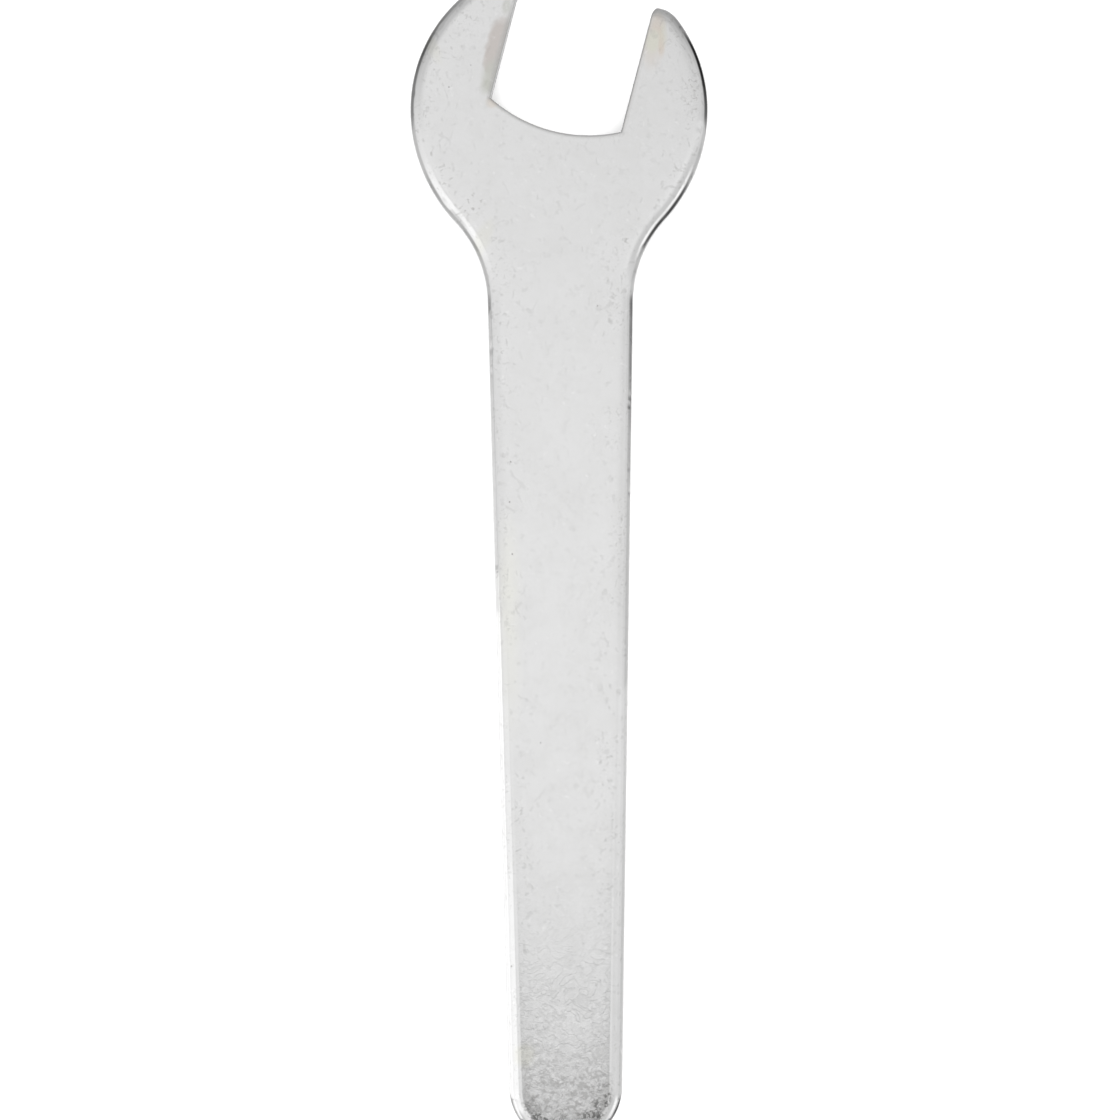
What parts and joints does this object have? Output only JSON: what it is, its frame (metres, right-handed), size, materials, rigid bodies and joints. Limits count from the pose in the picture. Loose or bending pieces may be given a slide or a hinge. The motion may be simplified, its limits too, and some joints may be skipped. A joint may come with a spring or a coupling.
{
  "type": "open-end wrench",
  "caption": "Flat stamped open-end wrench with an angled jaw, a shallow curved throat, a round head and a tapered handle with a round end.",
  "frame": {"origin": "on the surface that the wrench lies on, under the middle of its bounding box", "axes": "+Y along the handle towards the head, +Z through the thickness from the burr side to the side with the rolled edge, +X to the right as the picture shows it"},
  "size_m": [0.0386, 0.1524, 0.004],
  "materials": {
    "plated_steel": "satin, plated and tumbled"
  },
  "bodies": {
    "root": {"wrench_body": "plated_steel"}
  },
  "joints": []
}
